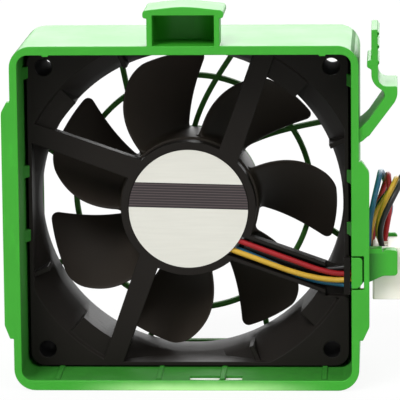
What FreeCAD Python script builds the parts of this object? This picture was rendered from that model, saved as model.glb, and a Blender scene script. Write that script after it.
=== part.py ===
import FreeCAD, Part
import math
import os

import Sketcher
from FreeCAD import Placement, Rotation, Vector

# Hot-swap server fan module: a moulded carrier that holds an 80 x 80 x 25 mm
# axial fan, with a finger guard behind it, a springy release latch and a
# blind-mating connector on its right side.
#
# Millimetres.  +X is right, +Z is up and +Y runs from the open rim of the
# carrier back to the finger guard.  The origin is on the bottom face, under
# the fan's axis, half way along the carrier's depth.

doc = FreeCAD.newDocument("server_fan_module")
sheet = doc.addObject("Spreadsheet::Sheet", "Params")

CELLS = [
    # carrier: a square tube with its fan set back from the rim
    ("carrier_width", 85.4), ("carrier_height", 85.8), ("carrier_depth", 43.0),
    ("side_wall", 1.9), ("top_wall", 2.2), ("floor_wall", 2.5),
    ("outer_corner", 5.3), ("inner_corner", 2.6),
    ("axis_height", 42.9), ("fan_recess", 15.5),
    ("rib_width", 1.3), ("rib_height", 0.4),
    ("rail_depth", 2.8), ("left_rail_proud", 2.2), ("right_rail_proud", 2.5),
    ("left_rail_low", 13.0), ("left_rail_high", 72.1), ("right_rail_low", 12.6), ("right_rail_high", 57.2),
    ("window_left", 0.6), ("window_right", 13.6), ("window_front", 1.5), ("window_back", 5.7),
    ("snap_length", 3.0), ("snap_proud", 1.25),
    ("nub_width", 1.6), ("nub_height", 0.35), ("nub_spread", 33.8),
    # finger pocket on top
    ("grip_width", 17.8), ("grip_height", 7.5), ("grip_depth", 15.5), ("grip_wall", 1.35),
    ("lid_width", 19.7), ("lid_top", 95.3),
    # finger guard
    ("guard_open", 77.2), ("guard_ring", 30.2), ("guard_inner_ring", 16.4),
    ("guard_bar", 1.4), ("guard_thickness", 2.4), ("guard_boss", 4.0), ("spoke_count", 8),
    ("guard_corner", 9.5),
    # wire slot, its closing tab and the connector bracket
    ("slot_low", 25.7), ("slot_high", 33.4), ("tab_reach", 43.5), ("tab_gap", 0.35),
    ("bracket_reach", 52.1), ("arm_thickness", 4.0), ("bracket_bend", 45.2), ("bracket_low", 26.8),
    ("bracket_high", 34.8), ("web_reach", 48.4),
    # latch
    ("latch_front", -20.6), ("latch_depth", 20.0), ("latch_root_x", 44.55),
    ("latch_root_z", 64.6), ("latch_root_end", 1.65), ("latch_arm_x", 45.75),
    ("latch_arm", 1.5), ("latch_top", 89.6), ("hook_reach", 52.1), ("hook_top", 75.7),
    ("grip_rib_low", 81.5), ("grip_rib_middle", 85.4), ("grip_rib_high", 88.6),
    ("grip_rib_foot", 0.7), ("grip_rib_proud", 0.45),
    ("bump_low", 79.8), ("bump_high", 82.3), ("bump_proud", 1.05),
    # fan frame
    ("fan_size", 80.0), ("fan_thickness", 25.0), ("fan_corner", 3.6),
    ("hole_spacing", 71.5), ("hole_diameter", 4.3), ("post_radius", 3.7), ("web_width", 1.6),
    ("bore", 38.5), ("duct_outer", 39.6), ("flange", 4.2), ("flare", 44.0), ("flare_depth", 10.0),
    ("lip_inner", 39.0), ("lip_half", 15.5), ("inlet_flare", 40.5), ("inlet_depth", 3.0),
    ("strut_angle", 70.3), ("strut_offset", 5.0), ("strut_width", 4.9),
    ("strut_depth", 3.6), ("strut_inside", 13.0), ("strut_edge", 39.5),
    ("pad_depth", 1.0), ("pad_turn", 24.0), ("fin_depth", 1.5), ("fin_width", 1.2), ("fin_turn", 46.7),
    ("channel_width", 7.4), ("channel_wall", 0.9), ("channel_floor", 1.1),
    ("notch_depth", 5.8), ("notch_low", 20.7), ("notch_high", 31.1),
    ("base_radius", 16.9), ("base_thickness", 1.9), ("skirt_wall", 1.2), ("skirt_depth", 4.4),
    ("label_radius", 14.9), ("label_recess", 0.25), ("tube_outer", 5.0), ("tube_length", 15.4),
    # rotor
    ("hub_radius", 17.4), ("hub_start", 5.2), ("hub_end", 24.2), ("hub_corner", 1.6),
    ("yoke_radius", 16.0), ("yoke_wall", 1.0), ("yoke_end", 22.2), ("magnet_inner", 13.3),
    ("magnet_end", 16.0), ("shaft_radius", 1.5), ("shaft_start", 1.2), ("shaft_end", 21.8),
    ("bush_radius", 3.6), ("bush_start", 17.4), ("clip_radius", 2.6), ("clip_gap", 1.1),
    ("blade_count", 7), ("blade_tip", 36.9), ("blade_tip_angle", 84.0), ("blade_middle", 24.0),
    ("blade_lead", 22.6), ("blade_thickness", 1.5),
    # bearings
    ("bearing_outer", 4.0), ("bearing_width", 3.0), ("race_outer", 3.3), ("race_inner", 2.2),
    ("ball_radius", 0.62), ("race_gap", 0.07), ("ball_count", 7),
    ("bearing_near", 2.5), ("bearing_far", 11.4),
    # stator
    ("core_radius", 12.6), ("core_start", 7.6), ("core_height", 6.0), ("pole_width", 4.0),
    ("pole_count", 4), ("insulator", 0.6), ("shoe_half", 6.6), ("shoe_inner", 10.4),
    ("board_radius", 15.3), ("board_depth", 3.0), ("board_thickness", 0.8),
    # connector
    ("plug_left", 45.95), ("plug_right", 53.4), ("plug_front", -14.4), ("plug_back", 0.6),
    ("plug_low", 21.6), ("plug_high", 34.8), ("circuit_pitch", 3.4), ("cavity_width", 1.9),
    ("key_height", 5.5), ("key_proud", 0.5), ("key_width", 1.2), ("terminal_width", 1.6),
    ("wire_diameter", 1.4),
]

for row, (alias, number) in enumerate(CELLS, 1):
    sheet.set(f"A{row}", alias)
    sheet.set(f"B{row}", str(number))
    sheet.setAlias(f"B{row}", alias)
doc.recompute()


class Size:
    """A length that carries its number and the expression that gives it."""

    def __init__(self, number, text=None):
        self.number = float(number)
        self.text = text or repr(float(number))

    @staticmethod
    def of(other):
        return other if isinstance(other, Size) else Size(other)

    def join(self, other, sign, number):
        return Size(number, f"({self.text} {sign} {Size.of(other).text})")

    def __add__(self, other):
        return self.join(other, "+", self.number + Size.of(other).number)

    def __sub__(self, other):
        return self.join(other, "-", self.number - Size.of(other).number)

    def __mul__(self, other):
        return self.join(other, "*", self.number * Size.of(other).number)

    def __truediv__(self, other):
        return self.join(other, "/", self.number / Size.of(other).number)

    def __radd__(self, other):
        return Size.of(other) + self

    def __rsub__(self, other):
        return Size.of(other) - self

    def __rmul__(self, other):
        return Size.of(other) * self

    def __neg__(self):
        return Size(-self.number, f"(0 - {self.text})")

    def __float__(self):
        return self.number


class Sizes:
    """Reads a cell of the sheet by its alias."""

    def __getattr__(self, alias):
        return Size(sheet.get(alias), f"Params.{alias}")


p = Sizes()
half_width = p.carrier_width / 2
rim = -(p.carrier_depth / 2)
back = p.carrier_depth / 2
fan_face = rim + p.fan_recess
fan_back = fan_face + p.fan_thickness
inner_wall = half_width - p.side_wall


# ---------------------------------------------------------------- helpers

def bind(thing, prop, size):
    """Sets a property from a size, as an expression when it has one."""
    thing.setExpression(prop, Size.of(size).text)


def new_body(label, on_axis=False):
    """A PartDesign body; on_axis puts its origin on the fan's axis at the fan's face."""
    body = doc.addObject("PartDesign::Body", label)
    if on_axis:
        seat(body)
    return body


def seat(thing):
    """Places a fan piece: local y = 0 is the fan's label-side face, z = 0 its axis."""
    bind(thing, "Placement.Base.y", fan_face)
    bind(thing, "Placement.Base.z", p.axis_height)


def new_sketch(body, plane, offset=0, spin=None):
    """A sketch on an origin plane, moved along its normal and turned in its plane."""
    sketch = body.newObject("Sketcher::SketchObject", "Sketch")
    base = next(f for f in body.Origin.OriginFeatures if f.Role == plane)
    sketch.AttachmentSupport = (base, [""])
    sketch.MapMode = "FlatFace"
    if spin is not None:
        sketch.AttachmentOffset = Placement(Vector(), Rotation(Vector(0, 0, 1), float(spin)))
        bind(sketch, "AttachmentOffset.Rotation.Angle", spin)
    bind(sketch, "AttachmentOffset.Base.z", offset)
    return sketch


def fix_point(sketch, edge, end, x, y):
    """Ties one point of a sketch to the origin by its two bound distances."""
    for kind, size, axis in (("DistanceX", Size.of(x), -2), ("DistanceY", Size.of(y), -1)):
        if abs(size.number) < 1e-9:
            sketch.addConstraint(Sketcher.Constraint("PointOnObject", edge, end, axis))
        elif size.number > 0:
            place = sketch.addConstraint(
                Sketcher.Constraint(kind, -1, 1, edge, end, size.number))
            bind(sketch, f"Constraints[{place}]", size)
        else:
            place = sketch.addConstraint(
                Sketcher.Constraint(kind, edge, end, -1, 1, -size.number))
            bind(sketch, f"Constraints[{place}]", -size)


def draw_circle(sketch, radius, x=0, y=0):
    circle = Part.Circle(Vector(float(x), float(y), 0), Vector(0, 0, 1), float(radius))
    edge = sketch.addGeometry(circle)
    fix_point(sketch, edge, 3, x, y)
    place = sketch.addConstraint(Sketcher.Constraint("Radius", edge, float(radius)))
    bind(sketch, f"Constraints[{place}]", radius)


def draw_outline(sketch, corners):
    """A closed outline through (x, y) or (x, y, radius) corners, in order.

    Every corner is held by two bound distances, and a rounded one by its bound
    radius too: its arc is tangent to both sides.
    """
    points = [Vector(float(c[0]), float(c[1]), 0) for c in corners]
    radii = [c[2] if len(c) > 2 else 0 for c in corners]
    count = len(corners)
    starts, ends, arcs = [], [], []
    for i, point in enumerate(points):
        before = (points[i - 1] - point).normalize()
        after = (points[(i + 1) % count] - point).normalize()
        half_turn = before.getAngle(after) / 2
        trim = float(radii[i]) / math.tan(half_turn)
        ends.append(point + before * trim)
        starts.append(point + after * trim)
        middle = point + (before + after).normalize() * (float(radii[i]) / math.sin(half_turn))
        arcs.append(middle)
    sides = []
    for i in range(count):
        sides.append(sketch.addGeometry(Part.LineSegment(starts[i], ends[(i + 1) % count])))
    for i in range(count):
        side_in, side_out = sides[i - 1], sides[i]
        if not float(radii[i]):
            sketch.addConstraint(Sketcher.Constraint("Coincident", side_in, 2, side_out, 1))
            fix_point(sketch, side_out, 1, corners[i][0], corners[i][1])
            continue
        turn = (points[i] - points[i - 1]).cross(points[(i + 1) % count] - points[i]).z
        first, last = (ends[i], starts[i]) if turn > 0 else (starts[i], ends[i])
        circle = Part.Circle(arcs[i], Vector(0, 0, 1), float(radii[i]))
        spread = [circle.parameter(first), circle.parameter(last)]
        if spread[1] < spread[0]:
            spread[1] += 2 * math.pi
        arc = sketch.addGeometry(Part.ArcOfCircle(circle, spread[0], spread[1]))
        joins = ((side_in, 2, 1), (side_out, 1, 2)) if turn > 0 else ((side_in, 2, 2), (side_out, 1, 1))
        for side, side_end, arc_end in joins:
            sketch.addConstraint(Sketcher.Constraint("Tangent", side, side_end, arc, arc_end))
        place = sketch.addConstraint(Sketcher.Constraint("Radius", arc, float(radii[i])))
        bind(sketch, f"Constraints[{place}]", radii[i])
        tip = sketch.addGeometry(Part.Point(points[i]), True)
        for side in (side_in, side_out):
            sketch.addConstraint(Sketcher.Constraint("PointOnObject", tip, 1, side))
        fix_point(sketch, tip, 1, corners[i][0], corners[i][1])


def box_corners(low_x, high_x, low_y, high_y, radius=0):
    return [(low_x, low_y, radius), (high_x, low_y, radius),
            (high_x, high_y, radius), (low_x, high_y, radius)]


def extrude(body, kind, plane, low, high, outlines, circles, curves, spin):
    """Pads or pockets outlines between two heights along the plane's axis."""
    sketch = new_sketch(body, plane, -high if plane == "XZ_Plane" else low, spin)
    for corners in outlines:
        draw_outline(sketch, corners)
    for circle in circles:
        draw_circle(sketch, *circle)
    for curve in curves:
        sketch.addGeometry(curve)
    feature = body.newObject("PartDesign::" + kind, kind)
    feature.Profile = sketch
    bind(feature, "Length", high - low)
    feature.Reversed = kind == "Pocket"
    body.Tip = feature
    return feature


def pad(body, plane, low, high, *outlines, circles=(), curves=(), spin=None):
    return extrude(body, "Pad", plane, Size.of(low), Size.of(high), outlines, circles, curves, spin)


def pocket(body, plane, low, high, *outlines, circles=(), curves=(), spin=None):
    return extrude(body, "Pocket", plane, Size.of(low), Size.of(high), outlines, circles, curves, spin)


def turn(body, corners, kind="Revolution"):
    """Revolves an outline of (radius, depth) corners about the fan's axis."""
    sketch = new_sketch(body, "XY_Plane")
    draw_outline(sketch, corners)
    feature = body.newObject("PartDesign::" + kind, kind)
    feature.Profile = sketch
    feature.ReferenceAxis = (sketch, ["V_Axis"])
    feature.Angle = 360
    body.Tip = feature
    return feature


def turned(label, corners):
    body = new_body(label, on_axis=True)
    turn(body, corners)
    return body


def polar(body, features, count):
    """Repeats features around the fan's axis."""
    pattern = body.newObject("PartDesign::PolarPattern", "PolarPattern")
    pattern.Originals = features
    pattern.Axis = (next(f for f in body.Origin.OriginFeatures if f.Role == "Y_Axis"), [""])
    pattern.Angle = 360
    bind(pattern, "Occurrences", count)
    body.Tip = pattern
    return pattern


def mould(label, shape, on_axis=False):
    """A piece whose form neither a sketch nor a primitive gives."""
    piece = doc.addObject("Part::Feature", label)
    piece.Shape = shape
    if on_axis:
        piece.Placement = Placement(Vector(0, float(fan_face), float(p.axis_height)), Rotation())
    return piece


def ring_point(radius, angle, depth=0.0):
    """A point at an angle seen from the rim: 0 is right and 90 is up."""
    turn_by = math.radians(angle)
    return Vector(radius * math.cos(turn_by), depth, radius * math.sin(turn_by))


# ---------------------------------------------------------------- carrier

def carrier_shell():
    """Rectangular tube with snaps, ribs, guide rails and the finger pocket."""
    body = new_body("carrier_shell")
    wall_low, wall_high = p.floor_wall, p.carrier_height - p.top_wall
    pad(body, "XZ_Plane", rim, back,
        box_corners(-half_width, half_width, 0, p.carrier_height, p.outer_corner))

    # guide rails: thin flanges level with the rim, with rounded lead-ins
    for side, proud, low, high in ((-1, p.left_rail_proud, p.left_rail_low, p.left_rail_high),
                                   (1, p.right_rail_proud, p.right_rail_low, p.right_rail_high)):
        root, face = side * (half_width - 1), side * (half_width + proud)
        step = side * (half_width + 0.9)
        corners = [(root, low), (step, low), (face, low + 3.4, 2.0),
                   (face, high - 2.6, 2.4), (side * (half_width + 0.8), high, 0.3), (root, high)]
        pad(body, "XZ_Plane", rim, rim + p.rail_depth, corners if side > 0 else corners[::-1])

    # finger pocket: walls with an arched back, closed by a wider domed lid
    half_grip, half_lid = p.grip_width / 2, p.lid_width / 2
    grip_back = rim + p.grip_depth
    ceiling = p.carrier_height + p.grip_height
    pad(body, "XY_Plane", p.carrier_height - 0.8, ceiling,
        [(-half_grip, rim), (half_grip, rim), (half_grip, grip_back, 7.0), (-half_grip, grip_back, 7.0)])
    pad(body, "XZ_Plane", rim, grip_back + 0.6,
        [(-half_lid, ceiling - 0.7, 0.6), (half_lid, ceiling - 0.7, 0.6),
         (half_lid, p.lid_top - 0.8, 0.9), (0, p.lid_top + 0.3, 30), (-half_lid, p.lid_top - 0.8, 0.9)])
    hollow = half_grip - p.grip_wall
    pocket(body, "XY_Plane", p.carrier_height, ceiling,
           [(-hollow, rim - 1), (hollow, rim - 1), (hollow, grip_back - p.grip_wall, 5.6),
            (-hollow, grip_back - p.grip_wall, 5.6)])

    # the hollow that takes the fan
    pocket(body, "XZ_Plane", rim - 5, back + 5,
           box_corners(-inner_wall, inner_wall, wall_low, wall_high, p.inner_corner))

    # floor ribs that carry the fan, and the drain window beside the rim
    ribs = (-32.1, -7.0, 8.8, 34.0)
    for middle in ribs:
        pad(body, "XZ_Plane", rim + 0.8, fan_back,
            box_corners(middle - p.rib_width / 2, middle + p.rib_width / 2, wall_low - 0.5,
                        wall_low + p.rib_height))
    bar = ribs[2]
    for low, high in ((p.window_left, bar - p.rib_width / 2), (bar + p.rib_width / 2, p.window_right)):
        pocket(body, "XY_Plane", -1, wall_low + 2,
               box_corners(low, high, rim + p.window_front, rim + p.window_back))

    # snaps: wedges on both side walls that hook over the fan's face
    left_snaps, right_snaps = (77.4, 52.6, 36.4), (75.4, 51.3, 38.2)
    for side, heights in ((-1, left_snaps), (1, right_snaps)):
        for height in heights:
            wall, tip = side * (inner_wall + 0.5), side * (inner_wall - p.snap_proud)
            corners = [(wall, fan_face - 3.6), (side * inner_wall, fan_face - 3.6), (tip, fan_face - 0.9),
                       (tip, fan_face), (wall, fan_face)]
            pad(body, "XY_Plane", height - p.snap_length / 2, height + p.snap_length / 2,
                corners if side < 0 else corners[::-1])

    # two nubs under the top edge of the rim that centre the fan while it slides in
    for middle in (-p.nub_spread, p.nub_spread):
        pad(body, "XZ_Plane", rim, rim + p.nub_width,
            box_corners(middle - p.nub_width / 2, middle + p.nub_width / 2, wall_high - p.nub_height,
                        wall_high + p.nub_height))

    # wire slot: narrow at the rim, where the tab closes it, and taller behind
    pocket(body, "XZ_Plane", rim - 1, rim + p.rail_depth,
           box_corners(inner_wall - 1, p.tab_reach + p.tab_gap, p.slot_low - p.tab_gap,
                       p.slot_high + p.tab_gap))
    pocket(body, "XZ_Plane", rim + p.rail_depth, rim + 20.5,
           box_corners(inner_wall - 1, half_width + 4, p.slot_low - 4.7, p.slot_high))
    return body


def smooth(points):
    """A spline through (x, y) points of a sketch."""
    curve = Part.BSplineCurve()
    curve.interpolate([Vector(x, y, 0) for x, y in points])
    return curve


def finger_guard():
    """Square lip with a ring, an inner ring, a boss and eight swept spokes."""
    body = new_body("finger_guard")
    bind(body, "Placement.Base.y", fan_back)
    bind(body, "Placement.Base.z", p.axis_height)
    thick, bar = p.guard_thickness, p.guard_bar
    low, high = p.floor_wall - p.axis_height, p.carrier_height - p.top_wall - p.axis_height
    opening = p.guard_open / 2
    pad(body, "XZ_Plane", 0, thick,
        box_corners(-inner_wall, inner_wall, low, high, p.inner_corner),
        box_corners(-opening, opening, -opening, opening, p.guard_corner))

    # spokes sweep clockwise on their way out: (radius, angle) along the middle of one
    sweep = ((10.0, 95.5), (16.4, 89.0), (23.2, 83.3), (30.0, 78.6), (36.5, 74.2))
    for last, first_turn in (((41.3, 72.0), 0), ((44.2, 71.6), 45)):
        sides = []
        for side in (-0.5, 0.5):
            points = []
            for radius, angle in ((3.0, 101.5),) + sweep + (last,):
                spread = math.degrees(side * float(bar) / radius)
                point = ring_point(radius, angle + first_turn + spread)
                points.append((point.x, point.z))
            sides.append(smooth(points))
        caps = [Part.LineSegment(sides[0].StartPoint, sides[1].StartPoint),
                Part.LineSegment(sides[0].EndPoint, sides[1].EndPoint)]
        spoke = pad(body, "XZ_Plane", 0, thick, curves=sides + caps)
        polar(body, [spoke], p.spoke_count / 2)
    for ring in (p.guard_ring, p.guard_inner_ring):
        pad(body, "XZ_Plane", 0, thick, circles=[(ring + bar / 2,), (ring - bar / 2,)])
    pad(body, "XZ_Plane", 0, thick, circles=[(p.guard_boss,)])
    return body


def cable_tab():
    """Closes the wire slot at the rim and leaves an L-shaped gap around itself."""
    body = new_body("cable_tab")
    pad(body, "XZ_Plane", rim, rim + p.rail_depth,
        [(inner_wall, p.slot_low), (p.tab_reach - 1.2, p.slot_low), (p.tab_reach, p.slot_low + 1.2),
         (p.tab_reach, p.slot_high, 0.9), (inner_wall, p.slot_high)])
    # the thin film that it bends on joins it to the wall behind the gap
    pad(body, "XZ_Plane", rim + p.rail_depth - 0.6, rim + p.rail_depth,
        box_corners(inner_wall, half_width, p.slot_low - p.tab_gap, p.slot_low + 0.4))
    return body


def connector_bracket():
    """Two arms and a web on the right wall that hold the plug."""
    body = new_body("connector_bracket")
    reach, bend, low, high = p.bracket_reach, p.bracket_bend, p.bracket_low, p.bracket_high
    shelf, shoulder = low + 1.6, high - 2.2
    front = rim + p.rail_depth
    behind = front + p.arm_thickness
    pad(body, "XZ_Plane", front, behind,
        [(half_width, low), (bend, low, 2.0), (bend + 3.4, shelf, 3.0), (reach, shelf, 0.9),
         (reach, high, 0.9), (bend + 4.0, high, 1.0), (bend, shoulder, 2.0), (half_width, shoulder)])
    web_low, web_high, web_reach = p.slot_high + 0.3, p.slot_high + 1.7, p.web_reach
    web_edge, web_back = half_width + 1, p.plug_back + 1.6
    pad(body, "XY_Plane", web_low, web_high,
        [(half_width, front), (web_reach, front), (web_reach, behind - 0.2), (bend + 0.7, behind, 1.0),
         (web_edge, behind + 2.3, 1.5), (web_edge, web_back), (half_width, web_back)])
    pad(body, "XZ_Plane", front, behind,
        [(half_width, shoulder - 1.6), (bend + 1.8, shoulder - 1.6), (web_reach, high - 0.8),
         (web_reach, web_high), (half_width, web_high)])
    pad(body, "XZ_Plane", p.plug_back + 0.1, p.plug_back + 1.7,
        [(half_width, shelf), (reach, shelf, 0.9), (reach, high + 0.8, 0.9), (half_width, high + 0.8)])
    return body


def release_latch():
    """Springy arm: root on the wall, a hook with a flat ledge and a ribbed grip."""
    body = new_body("release_latch")
    arm_left, arm_right = p.latch_arm_x, p.latch_arm_x + p.latch_arm
    root_x, root_z, end = p.latch_root_x, p.latch_root_z, p.latch_root_end
    hook, ledge, top = p.hook_reach, p.hook_top, p.latch_top
    corners = [
        (root_x - 0.7 * end, root_z - end * 0.72, 0.5), (root_x + 0.5, root_z - 1.3, 0.8),
        (root_x + 6.9, root_z + 7.2, 1.5), (hook, ledge - 2.4, 4.0), (hook, ledge, 0.5),
        (arm_right + 0.15, ledge, 2.2), (arm_right, top, 0.3), (arm_left, top, 0.3),
        (arm_left, ledge + 0.9, 4.0), (arm_right + 2.3, ledge - 1.9, 1.6),
        (root_x + 0.4, root_z + 2.6, 0.8), (root_x - 0.7 * end, root_z + end * 0.72, 0.5)]
    low, high = p.latch_front, p.latch_front + p.latch_depth
    pad(body, "XZ_Plane", low, high, corners)
    # grip ribs on the outer face and the stop bump on the inner one
    foot, face, tip = p.grip_rib_foot, arm_right + p.grip_rib_proud, 0.25
    for height in (p.grip_rib_low, p.grip_rib_middle, p.grip_rib_high):
        pad(body, "XZ_Plane", low, high,
            [(arm_right - 0.5, height - foot), (arm_right, height - foot), (face, height - tip, 0.2),
             (face, height + tip, 0.2), (arm_right, height + foot), (arm_right - 0.5, height + foot)])
    bump, bump_low, bump_high = arm_left - p.bump_proud, p.bump_low, p.bump_high
    pad(body, "XZ_Plane", low, high,
        [(arm_left + 0.5, bump_high), (arm_left, bump_high), (bump, bump_high - 0.4, 0.6),
         (bump, bump_low + 0.6, 0.6), (arm_left, bump_low), (arm_left + 0.5, bump_low)])
    return body


# ---------------------------------------------------------------- fan frame

def fan_frame():
    """Square frame with two flanges, a round duct, four struts and the motor base."""
    body = new_body("fan_frame", on_axis=True)
    half, end, lip = p.fan_size / 2, p.fan_thickness, p.lip_inner
    square = box_corners(-half, half, -half, half, p.fan_corner)
    lip_square = box_corners(-lip, lip, -lip, lip, p.fan_corner - (half - lip))
    inner_face = p.flange - 0.5
    pad(body, "XZ_Plane", 0, p.flange, square)
    pad(body, "XZ_Plane", inner_face, end - inner_face, circles=[(p.duct_outer,)])
    pad(body, "XZ_Plane", end - p.flange, end, square)

    # a hollow post joins the flanges at each screw hole, and a web joins it to the duct
    step = p.hole_spacing / 2
    corners = [(x, z) for x in (-step, step) for z in (-step, step)]
    for x, z in corners:
        pad(body, "XZ_Plane", inner_face, end - inner_face, circles=[(p.post_radius, x, z)])
    for spin in range(45, 360, 90):
        pad(body, "XZ_Plane", inner_face, end - inner_face,
            box_corners(-p.web_width / 2, p.web_width / 2, p.duct_outer - 0.5, p.duct_outer + 8),
            spin=Size(spin))
    pocket(body, "XZ_Plane", -1, end + 1, circles=[(p.hole_diameter / 2, x, z) for x, z in corners])

    # outlet flare: its cone is wider than the frame, so it is cut off at the frame's
    # sides, and the sides come back as thin lips
    duct_wall = p.duct_outer - p.bore
    turn(body, [(p.bore, inner_face), (p.flare - 2 + duct_wall, inner_face), (p.duct_outer, p.flare_depth),
                (p.bore, p.flare_depth)])
    far = p.flare + 4
    pocket(body, "XZ_Plane", inner_face, p.flare_depth + 1, box_corners(-far, far, -far, far), square)
    pocket(body, "XZ_Plane", -1, end + 1, circles=[(p.bore,)])
    turn(body, [(p.bore - 1, -1), (p.flare + 1, -1), (p.flare, 0), (p.bore, p.flare_depth),
                (p.bore - 1, p.flare_depth)], "Groove")
    pad(body, "XZ_Plane", 0, p.flange, square, lip_square)
    for spin in range(0, 360, 90):
        pad(body, "XZ_Plane", inner_face, p.flare_depth,
            box_corners(-p.lip_half, p.lip_half, lip, half), spin=Size(spin))
    turn(body, [(p.bore - 1, end + 1), (p.bore - 1, end - p.inlet_depth), (p.bore, end - p.inlet_depth),
                (p.inlet_flare, end), (p.inlet_flare, end + 1)], "Groove")
    pad(body, "XZ_Plane", end - p.flange, end, square, lip_square)

    # flat pads fill the flare from each strut round to the frame's diagonal, and a
    # thin fin stands beyond each pad
    middle, wide, inside = p.strut_offset, p.strut_width, p.strut_inside
    turns = [p.strut_angle - 90 + 90 * i for i in range(4)]
    lean = math.radians(90 - float(p.strut_angle))

    def frame_side(x):
        return (p.strut_edge + x * math.sin(lean)) / math.cos(lean)

    low_x, inner, outer = middle - wide / 2, p.bore - 1, p.flare - 0.3
    pad_angles = [math.radians(90 - float(p.pad_turn) * step / 4) for step in (4, 3, 2, 1)]
    pad_corners = [(inner * math.cos(pad_angles[0]), inner * math.sin(pad_angles[0]))]
    pad_corners += [(outer * math.cos(a), outer * math.sin(a)) for a in pad_angles]
    pad_corners += [(low_x, frame_side(low_x)), (low_x, inner)]
    for spin in turns:
        pad(body, "XZ_Plane", p.pad_depth, p.flare_depth, pad_corners, spin=spin)
        fin = p.fin_width / 2
        pad(body, "XZ_Plane", p.fin_depth, p.flare_depth,
            box_corners(-fin, fin, inner, p.flare - 0.9), spin=spin - p.fin_turn)
    pocket(body, "XZ_Plane", -1, p.flare_depth + 1, circles=[(p.bore,)])

    # struts pass beside the axis and run out to the frame's sides, level with its face;
    # the last one is a trough that leads the wires out
    for spin in turns[:3]:
        near, far = middle - wide / 2, middle + wide / 2
        pad(body, "XZ_Plane", 0, p.strut_depth,
            [(near - 0.3, inside), (far + 0.3, inside), (far, frame_side(far)), (near, frame_side(near))],
            spin=spin)
    left, right = middle - p.channel_width / 2, middle + p.channel_width / 2
    trough = p.strut_depth + 0.6
    pad(body, "XZ_Plane", 0, trough,
        [(left, inside), (right, inside), (right, frame_side(right)), (left, frame_side(left))],
        spin=turns[3])

    # motor base: a cup with the bearing tube, recessed for the label
    base, skirt = p.base_radius, p.base_radius - p.skirt_wall
    pad(body, "XZ_Plane", 0, p.skirt_depth, circles=[(base,)])
    pocket(body, "XZ_Plane", p.base_thickness, p.board_depth, circles=[(skirt - 0.9,)])
    pocket(body, "XZ_Plane", p.board_depth, trough + 5, circles=[(skirt,)])
    pad(body, "XZ_Plane", 0.5, p.tube_length, circles=[(p.tube_outer,)])
    pocket(body, "XZ_Plane", -1, p.label_recess, circles=[(p.label_radius + 0.15,)])
    pocket(body, "XZ_Plane", -1, p.tube_length + 1, circles=[(p.bearing_outer - 0.6,)])
    pocket(body, "XZ_Plane", -1, p.bearing_near + p.bearing_width, circles=[(p.bearing_outer,)])
    pocket(body, "XZ_Plane", p.bearing_far, p.tube_length + 1, circles=[(p.bearing_outer,)])

    # the trough's hollow runs from under the label out through the frame's side
    wall = p.channel_wall
    pocket(body, "XZ_Plane", -1, trough - p.channel_floor,
           box_corners(left + wall, right - wall, base - 4.2, half + 6), spin=turns[3])
    pocket(body, "XZ_Plane", p.base_thickness, p.skirt_depth + 1,
           box_corners(left + wall, right - wall, base - 3.4, base + 1.1), spin=turns[3])
    pocket(body, "XZ_Plane", -1, trough - p.channel_floor,
           box_corners(half - p.notch_depth, half + 1, p.notch_low - p.axis_height,
                       p.notch_high - p.axis_height))
    return body


def label_disc():
    body = new_body("label_disc", on_axis=True)
    pad(body, "XZ_Plane", 0.05, p.label_recess, circles=[(p.label_radius,)])
    return body


# ---------------------------------------------------------------- rotor

def blade_section(body, height, lead_angle, spread, trail_depth, thickness):
    """One aerofoil section in the plane at a height above the axis.

    Angles are counted from the outer lead corner, against the fan's turn; the
    section is centred on the plane's own vertical through blade_middle.
    """
    sketch = new_sketch(body, "XY_Plane", height)
    lead_depth, steps = float(p.blade_lead), 6
    rise = trail_depth - lead_depth
    slope = math.atan2(rise, height * math.radians(spread))
    upper, lower = [], []
    for i in range(steps + 1):
        along = i / steps
        angle = math.radians(lead_angle + spread * along - float(p.blade_middle))
        across = -height * math.tan(angle)
        depth = lead_depth + rise * (0.6 * along + 0.4 * along ** 2)
        half = thickness / 2 * (0.35 + 0.65 * math.sin(math.pi * (0.06 + 0.90 * along)))
        upper.append((across + math.sin(slope) * half, depth + math.cos(slope) * half))
        lower.append((across - math.sin(slope) * half, depth - math.cos(slope) * half))
    for points in (upper, lower):
        sketch.addGeometry(smooth(points))
    for end in (0, -1):
        sketch.addGeometry(Part.LineSegment(Vector(*upper[end], 0), Vector(*lower[end], 0)))
    return sketch


def impeller():
    """Rotor cup with seven swept, twisted blades, each lofted through five sections."""
    body = new_body("impeller", on_axis=True)
    outer, inner = p.hub_radius, p.yoke_radius
    turn(body, [(0, p.hub_start), (outer, p.hub_start), (outer, p.hub_end, p.hub_corner), (0, p.hub_end)])
    thick = float(p.blade_thickness)
    # height above the axis, lead angle, spread, trail depth and thickness of each section
    sections = [blade_section(body, *numbers) for numbers in (
        (14.0, 10.0, 40.0, 7.4, thick * 1.15), (20.0, 8.0, 40.0, 7.3, thick),
        (27.0, 4.8, 38.3, 7.8, thick * 0.9), (33.5, 1.5, 32.5, 8.8, thick * 0.75),
        (38.0, -0.5, 25.0, 10.6, thick * 0.65))]
    blade = body.newObject("PartDesign::AdditiveLoft", "Blade")
    blade.Profile = sections[0]
    blade.Sections = sections[1:]
    polar(body, [blade], p.blade_count)
    # the cavity for the yoke, then the tips trimmed to the duct
    turn(body, box_corners(0, inner, p.hub_start - 1, p.yoke_end), "Groove")
    turn(body, box_corners(p.blade_tip, p.blade_tip + 12, 0, p.fan_thickness), "Groove")
    # turned so that an outer lead corner stands at blade_tip_angle
    swing = p.blade_tip_angle + p.blade_middle - 90
    body.Placement.Rotation = Rotation(Vector(0, -1, 0), float(swing))
    bind(body, "Placement.Rotation.Angle", swing)
    return body


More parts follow.
